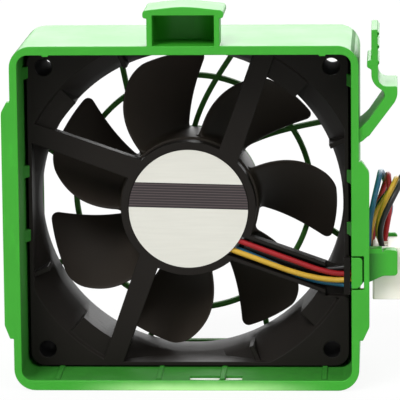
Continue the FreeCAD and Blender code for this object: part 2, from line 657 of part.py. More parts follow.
def rotor_pieces():
    """Steel yoke, magnet ring, brass bush, shaft, retaining ring and preload washer."""
    yoke, wall, start = p.yoke_radius, p.yoke_wall, p.hub_start + 0.2
    end = p.yoke_end
    turned("rotor_yoke", [(yoke - wall, start), (yoke, start), (yoke, end), (p.bush_radius - 1, end),
                          (p.bush_radius - 1, end - wall), (yoke - wall, end - wall)])
    turned("ring_magnet", [(p.magnet_inner, start + 0.3), (yoke - wall, start + 0.3),
                           (yoke - wall, p.magnet_end), (p.magnet_inner, p.magnet_end)])
    shaft, bush = p.shaft_radius, p.bush_radius
    turned("shaft_bush", [(shaft, p.bush_start), (bush - 1.2, p.bush_start), (bush, p.bush_start + 1.2),
                          (bush, end - wall), (bush - 1, end - wall), (bush - 1, end), (shaft, end)])
    groove = p.bearing_near - 0.55
    turned("shaft", [(0, p.shaft_start), (shaft - 0.3, p.shaft_start), (shaft, p.shaft_start + 0.3),
                     (shaft, groove), (shaft - 0.3, groove), (shaft - 0.3, p.bearing_near - 0.05),
                     (shaft, p.bearing_near - 0.05), (shaft, p.shaft_end - 0.3),
                     (shaft - 0.3, p.shaft_end), (0, p.shaft_end)])
    ring = turned("retaining_ring", box_corners(shaft - 0.3, p.clip_radius, groove + 0.05, groove + 0.45))
    pocket(ring, "XZ_Plane", 0, p.bearing_near + 1,
           box_corners(-p.clip_gap / 2, p.clip_gap / 2, shaft - 0.5, p.clip_radius + 1))
    # conical washer pair that pushes the inner rings apart
    low, high = p.bearing_far + p.bearing_width, p.bush_start
    middle, inner, outer = (low + high) / 2, shaft + 0.15, p.race_inner + 0.9
    thick, edge = 0.35, 0.12
    turned("preload_washers", [(inner, low), (inner + thick, low), (outer, middle - edge),
                               (outer, middle + edge), (inner + thick, high), (inner, high),
                               (inner, high - thick), (outer - 0.5, middle), (inner, low + thick)])


# ---------------------------------------------------------------- bearings

def bearing(name, start):
    """Ball bearing: outer ring, inner ring, balls and their cage."""
    width, outer, inner = p.bearing_width, p.bearing_outer, p.shaft_radius
    middle = start + width / 2
    track = (p.race_outer + p.race_inner) / 2
    groove = p.ball_radius + p.race_gap
    for label, low, high in (("outer_ring", p.race_outer, outer), ("inner_ring", inner, p.race_inner)):
        ring = turned(f"{name}_{label}", box_corners(low, high, start, start + width))
        sketch = new_sketch(ring, "XY_Plane")
        draw_circle(sketch, groove, track, middle)
        race = ring.newObject("PartDesign::Groove", "Raceway")
        race.Profile = sketch
        race.ReferenceAxis = (sketch, ["V_Axis"])
        race.Angle = 360
        ring.Tip = race

    balls = []
    for i in range(int(float(p.ball_count))):
        ball = doc.addObject("Part::Sphere", "Ball")
        bind(ball, "Radius", p.ball_radius)
        ball.Placement.Base = ring_point(float(track), 360 / float(p.ball_count) * i, float(middle))
        balls.append(ball)
    group = doc.addObject("Part::Compound", f"{name}_balls")
    group.Links = balls
    seat(group)

    # crown cage: a flat hoop beside the balls with one finger between each pair
    side = middle + p.ball_radius + 0.1
    cage = turned(f"{name}_cage", box_corners(track - 0.25, track + 0.25, side, side + 0.3))
    spread = 180 / float(p.ball_count)
    finger = pad(cage, "XZ_Plane", middle - 0.3, side + 0.2,
                 box_corners(-0.3, 0.3, track - 0.25, track + 0.25), spin=spread - 90)
    polar(cage, [finger], p.ball_count)


# ---------------------------------------------------------------- stator

def stator():
    """Laminated four-pole core, its two insulators, the windings and the board."""
    start, end = p.core_start, p.core_start + p.core_height
    tube, reach, pole = p.tube_outer, p.core_radius, p.pole_width / 2

    def poles(label, low, high, arm, collar):
        body = new_body(label, on_axis=True)
        pad(body, "XZ_Plane", low, high, circles=[(collar,), (tube,)])
        tooth = pad(body, "XZ_Plane", low, high, box_corners(-arm, arm, tube + 0.5, reach - 1))
        half, inner = p.shoe_half, p.shoe_inner
        shoe = pad(body, "XZ_Plane", low, high,
                   [(-half, inner), (0, inner + 0.5), (half, inner), (half - 0.4, inner + 0.6),
                    (half - 2, reach - 0.85, 2), (0, reach, 12), (2 - half, reach - 0.85, 2),
                    (0.4 - half, inner + 0.6)])
        polar(body, [tooth, shoe], p.pole_count)
        return body

    poles("stator_core", start, end, pole, tube + 1.8)
    thin = p.insulator
    poles("label_side_insulator", start - thin, start, pole + 0.35, tube + 1.9)
    poles("hub_side_insulator", end, end + thin, pole + 0.35, tube + 1.9)

    windings = []
    low, high = start - thin, end + thin
    for i in range(int(float(p.pole_count))):
        bundle = new_body("Bundle")
        bundle.Placement.Rotation = Rotation(Vector(0, 1, 0), 90 * i)
        for near, far, fat in ((tube + 2.0, tube + 3.6, 0.8), (tube + 3.6, tube + 5.2, 1.4)):
            pad(bundle, "XY_Plane", near, far,
                box_corners(-pole - 0.4 - fat, pole + 0.4 + fat, low - fat, high + fat, fat))
        pocket(bundle, "XY_Plane", tube + 1, tube + 7, box_corners(-pole - 0.4, pole + 0.4, low, high))
        windings.append(bundle)
    group = doc.addObject("Part::Compound", "stator_windings")
    group.Links = windings
    seat(group)

    board = new_body("circuit_board", on_axis=True)
    depth, thick = p.board_depth, p.board_thickness
    pad(board, "XZ_Plane", depth, depth + thick, circles=[(p.board_radius,), (tube + 0.1,)])
    top = depth + thick
    # chips: centre, width, height and thickness
    for label, x, z, wide, tall, high in (("hall_sensor", 0, -13.6, 3.0, 1.6, 1.2),
                                          ("driver_ic", -9.6, 3.5, 4.0, 5.0, 1.3)):
        chip = new_body(label, on_axis=True)
        pad(chip, "XZ_Plane", top, top + high,
            box_corners(x - wide / 2, Size(x + wide / 2), z - tall / 2, Size(z + tall / 2)))
    corners = ((-4.5, 9.2), (-1.5, 10.2), (6.5, -10.5))
    caps = [part_box("Cap", (x, x + 1.6), (top, top + 0.9), (z, z + 0.9)) for x, z in corners]
    group = doc.addObject("Part::Compound", "chip_capacitors")
    group.Links = caps
    seat(group)


def part_box(name, x, y, z):
    """A Part box between low and high along X, Y and Z."""
    box = doc.addObject("Part::Box", name)
    for prop, axis, (low, high) in (("Length", "x", x), ("Width", "y", y), ("Height", "z", z)):
        bind(box, prop, high - low)
        bind(box, "Placement.Base." + axis, low)
    return box


# ---------------------------------------------------------------- connector

def connector():
    """Plug with keyed ribs, a pocket for each circuit and its crimp terminals."""
    body = new_body("connector_housing")
    left, right, front, rear = p.plug_left, p.plug_right, p.plug_front, p.plug_back
    low, high = p.plug_low, p.plug_high
    middle = (left + right) / 2 - 1.0
    pad(body, "XY_Plane", low, high, box_corners(left, right, front, rear, 0.6))
    centre = (front + rear) / 2
    rows = [centre + (i - 1.5) * p.circuit_pitch for i in range(4)]
    cavity, key, terminal = p.cavity_width / 2, p.key_width / 2, p.terminal_width / 2
    for row in rows:
        pocket(body, "XY_Plane", low - 1, high + 1,
               box_corners(middle - cavity, middle + cavity, row - cavity, row + cavity))
        pad(body, "XY_Plane", low, low + p.key_height,
            box_corners(right - 0.2, right + p.key_proud, row - key, row + key))
    terminals = [part_box("Terminal", (middle - terminal, middle + terminal),
                          (row - terminal, row + terminal), (low + 0.8, low + 8.8)) for row in rows]
    group = doc.addObject("Part::Compound", "connector_terminals")
    group.Links = terminals


# ---------------------------------------------------------------- wires

def wire_path(points):
    """Straight runs joined by tangent arcs, each as large as its two runs allow."""
    corners = [Vector(*point) for point in points]
    edges, radii, start = [], [], corners[0]
    for before, corner, after in zip(corners, corners[1:], corners[2:]):
        run_in, run_out = before - corner, after - corner
        half_turn = (math.pi - run_in.getAngle(run_out)) / 2
        trim = 0.45 * min(run_in.Length, run_out.Length)
        first = corner + run_in.normalize() * trim
        last = corner + run_out.normalize() * trim
        radius = trim / math.tan(half_turn)
        to_centre = (run_in + run_out).normalize() * (radius / math.cos(half_turn))
        middle = corner + to_centre - (run_in + run_out).normalize() * radius
        edges.append(Part.LineSegment(start, first).toShape())
        edges.append(Part.Arc(first, middle, last).toShape())
        radii.append(radius)
        start = last
    edges.append(Part.LineSegment(start, corners[-1]).toShape())
    return Part.Wire(edges), radii


def wire(name, points):
    """One insulated wire from the circuit board to its terminal."""
    path, radii = wire_path(points)
    radius = float(p.wire_diameter) / 2
    section = Part.Wire(Part.makeCircle(radius, Vector(*points[0]), Vector(*points[1]) - Vector(*points[0])))
    tube = path.makePipeShell([section], True, True)
    expected = math.pi * radius ** 2 * path.Length
    print(f"{name}: {path.Length:.1f} mm, volume {tube.Volume / expected:.3f} of its section times length, "
          f"radii {min(radii):.1f} to {max(radii):.1f}")
    mould(name, tube)


WIRES = {
    "wire_red": [
        (11.1, -4.7, 35.2), (13.6, -5.0, 34.3), (19.5, -5.2, 32.1), (26.1, -5.1, 29.7),
        (32.5, -5.2, 27.3), (38.0, -5.1, 26.1), (42.4, -4.9, 26.8), (44.8, -4.4, 31.0),
        (45.1, -3.0, 37.0), (46.4, -0.2, 42.0), (48.7, 2.4, 46.2), (50.3, 2.3, 51.2),
        (50.3, -2.0, 53.5), (50.2, -6.1, 51.2), (50.5, -7.6, 46.2), (49.3, -6.3, 41.0),
        (48.7, -5.3, 37.0), (48.7, -5.2, 33.3)],
    "wire_yellow": [
        (10.0, -4.7, 32.6), (12.6, -5.1, 31.7), (18.6, -5.1, 29.5), (24.9, -5.2, 27.1),
        (31.2, -5.1, 25.3), (37.4, -5.3, 24.6), (42.0, -6.0, 25.2), (44.8, -7.6, 29.2),
        (45.0, -8.0, 35.2), (46.1, -6.4, 40.8), (48.8, -4.1, 45.0), (51.7, -4.0, 49.0),
        (52.9, -7.6, 52.2), (52.4, -12.2, 50.2), (50.0, -14.0, 45.2), (48.3, -13.1, 40.2),
        (48.6, -12.1, 36.6), (48.7, -12.0, 33.3)],
    "wire_black": [
        (13.0, -3.7, 33.3), (19.3, -3.7, 31.1), (25.7, -3.8, 28.7), (31.9, -3.7, 27.2),
        (38.2, -4.0, 28.0), (42.4, -4.9, 29.6), (44.8, -6.0, 33.6), (45.5, -4.9, 39.4),
        (47.6, -2.4, 43.8), (50.8, -0.4, 47.2), (53.7, -1.4, 51.0), (54.5, -5.8, 52.3),
        (53.7, -9.8, 49.4), (51.3, -11.0, 44.4), (49.0, -9.8, 39.8), (48.6, -8.7, 36.4),
        (48.7, -8.6, 33.3)],
    "wire_blue": [
        (12.5, -3.6, 31.3), (18.6, -3.7, 29.1), (24.9, -3.8, 26.6), (31.2, -4.1, 24.1),
        (37.4, -5.1, 23.0), (42.2, -6.8, 23.6), (44.7, -9.2, 27.6), (44.9, -9.8, 33.8),
        (45.1, -9.5, 40.0), (46.3, -8.2, 45.8), (47.6, -4.6, 50.2), (48.1, 0.6, 51.4),
        (48.7, 5.2, 49.6), (49.8, 7.0, 45.2), (50.5, 5.0, 41.2), (49.8, 1.5, 39.2),
        (48.8, -1.3, 37.2), (48.7, -1.8, 33.3)],
}


def wires():
    for name, points in WIRES.items():
        wire(name, points)


# ---------------------------------------------------------------- assembly

NODES = [
    "carrier_shell", "finger_guard", "connector_bracket", "cable_tab", "release_latch",
    "fan_frame", "label_disc", "impeller", "rotor_yoke", "ring_magnet", "shaft_bush", "shaft",
    "retaining_ring", "preload_washers",
    "near_bearing_outer_ring", "near_bearing_inner_ring", "near_bearing_balls", "near_bearing_cage",
    "far_bearing_outer_ring", "far_bearing_inner_ring", "far_bearing_balls", "far_bearing_cage",
    "stator_core", "label_side_insulator", "hub_side_insulator", "stator_windings",
    "circuit_board", "hall_sensor", "driver_ic", "chip_capacitors",
    "connector_housing", "connector_terminals",
] + list(WIRES)

carrier_shell()
finger_guard()
connector_bracket()
cable_tab()
release_latch()
fan_frame()
label_disc()
impeller()
rotor_pieces()
bearing("near_bearing", p.bearing_near)
bearing("far_bearing", p.bearing_far)
stator()
connector()
wires()
doc.recompute()

failed = [f"{thing.Label} in {getattr(thing.getParentGeoFeatureGroup(), 'Label', 'document')}"
          for thing in doc.Objects if "Invalid" in thing.State or "Error" in thing.State]
if failed:
    raise RuntimeError("failed objects: " + ", ".join(failed))

os.makedirs("parts", exist_ok=True)
for label in NODES:
    piece = doc.getObjectsByLabel(label)[0]
    if piece.Shape.isNull() or not piece.Shape.isValid() or piece.Shape.Volume <= 0:
        raise RuntimeError("bad shape: " + label)
    piece.Shape.exportStep(f"parts/{label}.step")
print(len(NODES), "nodes written")
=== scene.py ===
import math

import bmesh
import bpy
import numpy as np
from mathutils import Matrix, Vector


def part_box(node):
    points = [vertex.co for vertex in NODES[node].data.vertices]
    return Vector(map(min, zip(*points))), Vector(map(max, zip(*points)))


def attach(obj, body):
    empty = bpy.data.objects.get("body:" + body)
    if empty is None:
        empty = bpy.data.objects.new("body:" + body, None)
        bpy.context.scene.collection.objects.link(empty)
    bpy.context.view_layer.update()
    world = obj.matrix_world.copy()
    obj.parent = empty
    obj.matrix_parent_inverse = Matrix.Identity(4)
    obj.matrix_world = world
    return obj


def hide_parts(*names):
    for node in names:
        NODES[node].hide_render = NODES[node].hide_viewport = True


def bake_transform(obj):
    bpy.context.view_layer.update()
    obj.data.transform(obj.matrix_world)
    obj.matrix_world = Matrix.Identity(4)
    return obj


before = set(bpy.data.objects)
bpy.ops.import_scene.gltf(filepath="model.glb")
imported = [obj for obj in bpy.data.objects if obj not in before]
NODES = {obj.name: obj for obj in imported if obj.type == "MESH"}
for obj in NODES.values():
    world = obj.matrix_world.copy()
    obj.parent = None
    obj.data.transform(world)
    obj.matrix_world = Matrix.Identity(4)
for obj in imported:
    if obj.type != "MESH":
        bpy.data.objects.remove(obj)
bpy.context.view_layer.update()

# ---------------------------------------------------------------- camera and lamps
# A long lens a little above the module and to its right looks into the open
# rim.  Two broad suns light it from above the camera and one from behind.


def towards(azimuth, elevation):
    """The unit vector from the module towards an azimuth, counted from the front, and an elevation."""
    side, rise = math.radians(azimuth), math.radians(elevation)
    return Vector((math.sin(side) * math.cos(rise), -math.cos(side) * math.cos(rise), math.sin(rise)))


def aim_camera(target, distance, azimuth, elevation, lean, field):
    """Puts the camera on a sphere round the target, faces it and leans it by a small roll.

    field is the width in metres that the picture takes in at the target's distance.
    """
    back = towards(azimuth, elevation)
    level = Vector((0, 0, 1)).cross(back).normalized()
    roll = math.radians(lean)
    up = back.cross(level) * math.cos(roll) - level * math.sin(roll)
    right = up.cross(back)
    lens = bpy.data.cameras.new("camera")
    lens.sensor_width = 36.0
    lens.lens = lens.sensor_width * distance / field
    lens.clip_start, lens.clip_end = 0.05, 20.0
    camera = bpy.data.objects.new("camera", lens)
    bpy.context.scene.collection.objects.link(camera)
    camera.matrix_world = Matrix.Translation(Vector(target) + back * distance) @ Matrix(
        (right, up, back)).transposed().to_4x4()
    bpy.context.scene.camera = camera


aim_camera(target=(0.0027, -0.0015, 0.0444), distance=0.9, azimuth=3.1, elevation=9.8, lean=-0.57,
           field=0.10025)
bpy.context.scene.view_settings.view_transform = "Standard"


def sun(name, azimuth, elevation, strength, spread):
    """A broad sun that shines towards the module from an azimuth and an elevation."""
    light = bpy.data.lights.new(name, "SUN")
    light.energy, light.angle = strength, math.radians(spread)
    lamp = bpy.data.objects.new(name, light)
    bpy.context.scene.collection.objects.link(lamp)
    lamp.matrix_world = towards(azimuth, elevation).to_track_quat("Z", "Y").to_matrix().to_4x4()


sun("key_sun", azimuth=-28, elevation=46, strength=2.3, spread=30)
sun("fill_sun", azimuth=42, elevation=38, strength=0.8, spread=50)
sun("back_sun", azimuth=176, elevation=22, strength=1.9, spread=50)


# ---------------------------------------------------------------- floor and surround
# A pale sweep under the module.  It looks white but still takes the module's
# soft shadow, and mirror-like surfaces see the same white.


class Link:
    """A shader socket that Python's operators act on: each adds one Math node."""

    def __init__(self, finish, socket):
        self.finish, self.socket = finish, socket

    def math(self, operation, *values):
        return self.finish.add("Math", {"operation": operation}, *values)

    def __add__(self, other):
        return self.math("ADD", self, other)

    def __sub__(self, other):
        return self.math("SUBTRACT", self, other)

    def __rsub__(self, other):
        return self.math("SUBTRACT", other, self)

    def __mul__(self, other):
        return self.math("MULTIPLY", self, other)

    def __truediv__(self, other):
        return self.math("DIVIDE", self, other)

    def __rtruediv__(self, other):
        return self.math("DIVIDE", other, self)

    def __pow__(self, other):
        return self.math("POWER", self, other)

    def __abs__(self):
        return self.math("ABSOLUTE", self)

    def __or__(self, other):
        return self.math("MAXIMUM", self, other)

    def __lt__(self, other):
        return self.math("LESS_THAN", self, other)

    def __gt__(self, other):
        return self.math("GREATER_THAN", self, other)

    __radd__ = __add__
    __rmul__ = __mul__


class Tree:
    """The nodes of a material or of the world, made and joined by add()."""

    def __init__(self, owner):
        owner.use_nodes = True
        self.owner, self.nodes, self.links = owner, owner.node_tree.nodes, owner.node_tree.links

    def put(self, socket, value):
        """Links a Link to the socket, or sets the socket's own value."""
        if isinstance(value, Link):
            self.links.new(value.socket, socket)
        elif isinstance(value, tuple) and len(value) == 3 and len(socket.default_value) == 4:
            socket.default_value = (*value, 1.0)
        else:
            socket.default_value = value

    def add(self, kind, settings, *values, out=0, **named):
        """One node of any type: settings first, then its sockets in order or by name."""
        node = self.nodes.new("ShaderNode" + kind)
        for key, setting in settings.items():
            setattr(node, key, setting)
        for place, value in enumerate(values):
            self.put(node.inputs[place], value)
        for key, value in named.items():
            self.put(node.inputs[key.replace("_", " ")], value)
        return Link(self, node.outputs[out]) if node.outputs else None

    def split(self, vector):
        """The three parts of a vector."""
        node = self.add("SeparateXYZ", {}, vector).socket.node
        return [Link(self, part) for part in node.outputs]

    def seen(self):
        """1 for rays from the camera, from mirrors and through glass, else 0."""
        camera, glossy, through = (self.add("LightPath", {}, out=name) for name in
                                   ("Is Camera Ray", "Is Glossy Ray", "Is Transmission Ray"))
        return camera | glossy | through


def white_surround(level, overhead):
    """The world: white to the eye, and as soft light dimmer level with the module than overhead."""
    world = bpy.data.worlds.new("surround")
    bpy.context.scene.world = world
    tree = Tree(world)
    tree.nodes.clear()
    _, _, height = tree.split(tree.add("TexCoord", {}, out="Generated"))
    ambient = level + (height | 0.0) * (overhead - level)
    dim, bright = (tree.add("Background", {}, (1.0, 1.0, 1.0), strength) for strength in (ambient, 1.0))
    shown = tree.add("MixShader", {}, tree.seen(), dim, bright)
    tree.add("OutputWorld", {}, shown)


white_surround(level=0.22, overhead=0.7)


def sweep_floor(half, whiteness, clear=0.0001):
    """A flat square just clear of the module's underside, part matte and part self-white."""
    corners = [(-half, -half, 0), (half, -half, 0), (half, half, 0), (-half, half, 0)]
    mesh = bpy.data.meshes.new("floor")
    mesh.from_pydata(corners, [], [(0, 1, 2, 3)])
    floor = bpy.data.objects.new("floor", mesh)
    bpy.context.scene.collection.objects.link(floor)
    floor.location.z = -clear
    material = bpy.data.materials.new("floor_paper")
    tree = Tree(material)
    tree.nodes.clear()
    matte = tree.add("BsdfDiffuse", {}, (0.8, 0.8, 0.8))
    glow = tree.add("Emission", {}, (1.0, 1.0, 1.0), 1.0)
    shown = tree.add("MixShader", {}, tree.seen() * whiteness, matte, glow)
    tree.add("OutputMaterial", {}, shown)
    mesh.materials.append(material)


sweep_floor(half=6.0, whiteness=0.9)


# ---------------------------------------------------------------- carrier
# The module's body: one injection moulding in bright green ABS, a square tube
# with rails, snaps and a finger pocket.  Its edges are softly broken.


class Finish(Tree):
    """A material round one Principled shader, which feed() sets."""

    def __init__(self, name):
        super().__init__(bpy.data.materials.new(name))
        self.shader = self.nodes["Principled BSDF"]

    def feed(self, **named):
        """Sets the shader's sockets by name, with _ for a space, and returns the finish."""
        for key, value in named.items():
            self.put(self.shader.inputs[key.replace("_", " ")], value)
        return self

    def place(self):
        """The point on the piece, in metres."""
        return self.add("TexCoord", {}, out="Object")

    def axes(self):
        """The X, Y and Z of a point, in millimetres."""
        return self.split(self.add("VectorMath", {"operation": "SCALE"}, self.place(), Scale=1000.0))

    def noise(self, size, detail=3.0, roughness=0.5, vector=None):
        """Noise from 0 to 1 whose blobs are about size millimetres across."""
        return self.add("TexNoise", {}, Vector=vector or self.place(), Scale=1000.0 / size,
                        Detail=detail, Roughness=roughness)

    def stretched(self, x, y, z):
        """Object coordinates with each axis multiplied, for streaks and brushing."""
        return self.add("Mapping", {}, self.place(), Scale=(x, y, z))

    def mix(self, factor, first, second):
        """The first colour where factor is 0 and the second where it is 1."""
        node = self.nodes.new("ShaderNodeMix")
        node.data_type = "RGBA"
        for place, value in ((0, factor), (6, first), (7, second)):
            self.put(node.inputs[place], value)
        return Link(self, node.outputs[2])

    def bump(self, height, depth):
        """A normal from a height of 0 to 1, depth millimetres deep."""
        return self.add("Bump", {}, Height=height, Distance=depth / 1000, Strength=1.0)

    def step(self, value, low, high):
        """0 below low, 1 above high and smooth between."""
        return self.add("MapRange", {"interpolation_type": "SMOOTHSTEP"}, value, low, high, 0.0, 1.0)


def tint(colour, amount):
    """A colour scaled by 1 + amount and kept under 1."""
    return tuple(min(1.0, part * (1 + amount)) for part in colour)


def weld(build, touching=2e-6, sliver=1e-6):
    """Merges corners that touch and drops edges too short to see, both in metres."""
    bmesh.ops.remove_doubles(build, verts=build.verts, dist=touching)
    bmesh.ops.dissolve_degenerate(build, edges=build.edges, dist=sliver)


def crease(build, sharp):
    """Shades the faces smooth and keeps every edge over sharp degrees as a crease."""
    for face in build.faces:
        face.smooth = True
    for edge in build.edges:
        edge.smooth = edge.is_manifold and edge.calc_face_angle(0) < math.radians(sharp)


def softened(node, width, finish, body="carrier"):
    """A copy of a CAD node whose flat faces are whole again and whose creases are rounded.

    width is the rounding's size in millimetres.  With body None the piece is left unattached.
    """
    sharp, flat = 32, 0.4
    mesh = NODES[node].data.copy()
    mesh.name = node + "_moulding"
    build = bmesh.new()
    build.from_mesh(mesh)
    weld(build)
    bmesh.ops.join_triangles(build, faces=build.faces, angle_face_threshold=math.radians(flat),
                             angle_shape_threshold=math.pi)
    crease(build, sharp)
    build.to_mesh(mesh)
    build.free()
    if mesh.has_custom_normals:
        mesh.attributes.remove(mesh.attributes["custom_normal"])
    mesh.materials.clear()
    mesh.materials.append(finish.owner)
    piece = bpy.data.objects.new(node + "_moulding", mesh)
    bpy.context.scene.collection.objects.link(piece)
    rounding = piece.modifiers.new("edge_rounding", "BEVEL")
    rounding.width, rounding.segments = width / 1000, 2
    rounding.limit_method, rounding.angle_limit = "ANGLE", math.radians(sharp)
    rounding.harden_normals, rounding.use_clamp_overlap, rounding.loop_slide = True, False, False
    if body:
        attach(piece, body)
    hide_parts(node)
    return piece


def moulded(name, colour, rough, spread=0.12, grain=0.012, scuff=0.0, mark=None, **gloss):
    """Moulded plastic: faint flow clouds, a fine spark-eroded skin and rubbed streaks.

    mark takes the colour and the roughness and returns both with its local changes.
    """
    finish = Finish(name)
    cloud = finish.noise(14.0, detail=4.0)
    skin = finish.noise(0.35, detail=2.0)
    streak = finish.noise(3.0, detail=6.0, roughness=0.65, vector=finish.stretched(1.0, 3.0, 0.35))
    rub = finish.step(streak, 0.56, 0.70)
    shade = finish.mix(cloud, tint(colour, -spread), tint(colour, spread))
    shade = finish.mix(rub * scuff, shade, tint(colour, 0.9))
    dull = rough + (cloud - 0.5) * 0.12 + rub * 0.08
    if mark:
        shade, dull = mark(finish, shade, dull)
    return finish.feed(Base_Color=shade, Roughness=dull, Normal=finish.bump(skin, grain), **gloss)


def between(value, low, high):
    """1 where the value lies between low and high, else 0."""
    return (value > low) * (value < high)


def carrier_marks(finish, shade, dull):
    """Local changes to the green plastic, with places in millimetres.

    The rim's bottom edge is painted pale round the middle and so is the back of the drain window,
    both a painted glow.  The walls inside are rougher than outside and carry mottled painted shade,
    and the guard is tinted more olive.  The bracket's front is dark beside the wall that shades it.
    """
    x, y, z = finish.axes()
    # painted glow: the rim's bottom edge is lightened towards pale green round its middle
    glow_x, glow_half, glow_fades = 3.0, 6.0, 34.0
    along = 1.0 - finish.step(abs(x - glow_x), glow_half, glow_fades)
    up = 1.0 - finish.step(z + finish.noise(5.0) * 0.8, 0.6, 3.4)
    painted_rim_glow = along * up * (y < RIM_DEPTH) * 0.75
    shade = finish.mix(painted_rim_glow, shade, (0.50, 0.86, 0.36))

    bracket_front = (x > 43.0) * between(z, 22.0, 34.0) * between(y, -18.9, -18.0)
    shaded = bracket_front * (1.0 - finish.step(x, 44.5, 50.5)) * 0.75
    shade = finish.mix(shaded, shade, (0.008, 0.10, 0.006))

    # the guard is tinted halfway towards olive
    guard = (y > 18.9) * (abs(x) < 40.6) * between(z, 2.3, 83.7)
    shade = finish.mix(guard * 0.5, shade, (0.085, 0.19, 0.025))

    # painted shade: the walls inside are darkened, unevenly, towards deep green, and made rougher
    inside = (abs(x) < 41.6) * between(z, 0.6, 84.6) * (y > RIM_DEPTH)
    painted_inner_shade = 0.35 + finish.noise(3.0, detail=6.0, roughness=0.7) * 0.4
    shade = finish.mix(inside * painted_inner_shade, shade, (0.012, 0.075, 0.010))

    # painted glow: the back of the drain window is lightened to almost white
    painted_window_glow = between(x, 0.6, 13.6) * (z < 1.9) * between(y, RIM_DEPTH + 4.9, RIM_DEPTH + 5.3)
    return finish.mix(painted_window_glow, shade, (0.90, 0.95, 0.86)), dull + inside * 0.25


# the rim's flat end and its rounded edges lie in front of this depth
RIM_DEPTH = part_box("carrier_shell")[0].y * 1000 + 0.6
green = moulded("green_plastic", (0.030, 0.300, 0.016), 0.46, scuff=0.10, mark=carrier_marks,
                Specular_IOR_Level=0.35, Subsurface_Weight=0.10, Subsurface_Scale=0.0015,
                Subsurface_Radius=(0.4, 1.0, 0.3))
shell = softened("carrier_shell", 0.22, green)


# ---------------------------------------------------------------- finger guard
# The grille behind the fan, moulded in one with the carrier: a square lip, two
# rings, a boss and eight swept spokes whose bars are rounded on both faces.

low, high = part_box("shaft")
AXIS_X, AXIS_Z = (low.x + high.x) / 2 * 1000, (low.z + high.z) / 2 * 1000
low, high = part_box("finger_guard")
GUARD_FRONT, GUARD_BACK = low.y * 1000, high.y * 1000
GUARD_LOW, GUARD_HIGH, GUARD_HALF = low.z * 1000, high.z * 1000, (high.x - low.x) / 2 * 1000


def lattice(points, around=False, along=False):
    """Rows and columns of points as (points, faces), with one face between each four neighbours.

    around joins the last column to the first one, and along the last row to the first.
    """
    rows, columns = points.shape[:2]
    index = np.arange(rows * columns).reshape(rows, columns)
    if around:
        index = np.concatenate([index, index[:, :1]], axis=1)
    if along:
        index = np.concatenate([index, index[:1]], axis=0)
    faces = np.stack([index[:-1, :-1], index[:-1, 1:], index[1:, 1:], index[1:, :-1]], axis=-1)
    return points.reshape(-1, 3), faces.reshape(-1, 4)


def make_piece(name, shells, finish, body, node=None, crisp=38):
    """One object from shells of (points, faces) in millimetres.

    Corners are merged, faces turned outwards, and edges sharper than crisp degrees stay sharp.
    node names the CAD node that the piece stands in for, if there is one.
    """
    starts = np.cumsum([0] + [len(points) for points, _ in shells[:-1]])
    points = np.concatenate([points for points, _ in shells]) / 1000
    faces = np.concatenate([faces + start for (_, faces), start in zip(shells, starts)])
    mesh = bpy.data.meshes.new(name)
    mesh.from_pydata(points, [], faces)
    build = bmesh.new()
    build.from_mesh(mesh)
    weld(build)
    bmesh.ops.recalc_face_normals(build, faces=build.faces)
    crease(build, crisp)
    build.to_mesh(mesh)
    build.free()
    mesh.materials.append(finish.owner)
    piece = bpy.data.objects.new(name, mesh)
    bpy.context.scene.collection.objects.link(piece)
    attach(piece, body)
    if node:
        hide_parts(node)
    return piece


def pill(half_wide, half_deep, count=20, square=0.5):
    """A closed section: cosine and sine, each to a power under 1, give a box with round corners."""
    turn = np.linspace(0, 2 * np.pi, count, endpoint=False)
    return np.stack([half_wide * np.sign(np.cos(turn)) * np.abs(np.cos(turn)) ** square,
                     half_deep * np.sign(np.sin(turn)) * np.abs(np.sin(turn)) ** square], axis=1)


def bar_along(path, section, middle_y, closed=False):
    """A section carried along a flat path of (x, z) points in a plane of constant Y.

    The section's first part goes sideways to the path and its second part along Y.  Open ends
    shrink to a point on the path.
    """
    if closed:
        ahead = np.roll(path, -1, axis=0) - np.roll(path, 1, axis=0)
    else:
        ahead = np.gradient(path, axis=0)
    ahead /= np.linalg.norm(ahead, axis=1, keepdims=True)
    sideways = np.stack([-ahead[:, 1], ahead[:, 0]], axis=1)
    flat = path[:, None] + sideways[:, None] * section[None, :, :1]
    depth = np.broadcast_to(middle_y + section[None, :, 1], flat.shape[:2])
    points = np.stack([flat[..., 0], depth, flat[..., 1]], axis=-1)
    if not closed:
        start, stop = (np.broadcast_to(row.mean(axis=0), (1, *row.shape)) for row in points[[0, -1]])
        points = np.concatenate([start, points, stop])
    return lattice(points, around=True, along=closed)


def circle(radius, count=160):
    """Points round the fan's axis: X by the cosine and Z by the sine of an even turn."""
    turn = np.linspace(0, 2 * np.pi, count, endpoint=False)
    return np.stack([AXIS_X + radius * np.cos(turn), AXIS_Z + radius * np.sin(turn)], axis=1)


def rounded_box(half_x, low_z, high_z, radius, count=12):
    """A rectangle's outline with quarter-circle corners of count steps, against the clock."""
    turn = np.linspace(0, np.pi / 2, count + 1)
    corners = []
    for quarter, (side_x, side_z) in enumerate(((1, 1), (-1, 1), (-1, -1), (1, -1))):
        centre_x = AXIS_X + side_x * (half_x - radius)
        centre_z = high_z - radius if side_z > 0 else low_z + radius
        angle = turn + quarter * np.pi / 2
        corners.append(np.stack([centre_x + radius * np.cos(angle), centre_z + radius * np.sin(angle)],
                                axis=1))
    return np.concatenate(corners)


def turned(profile, count):
    """A closed profile of (radius, y) points, turned about the fan's axis in count steps."""
    profile = np.asarray(profile, float)
    turn = np.linspace(0, 2 * np.pi, count, endpoint=False)[:, None]
    x = AXIS_X + profile[None, :, 0] * np.cos(turn)
    z = AXIS_Z + profile[None, :, 0] * np.sin(turn)
    y = np.broadcast_to(profile[None, :, 1], x.shape)
    return lattice(np.stack([x, y, z], axis=-1), around=True, along=True)


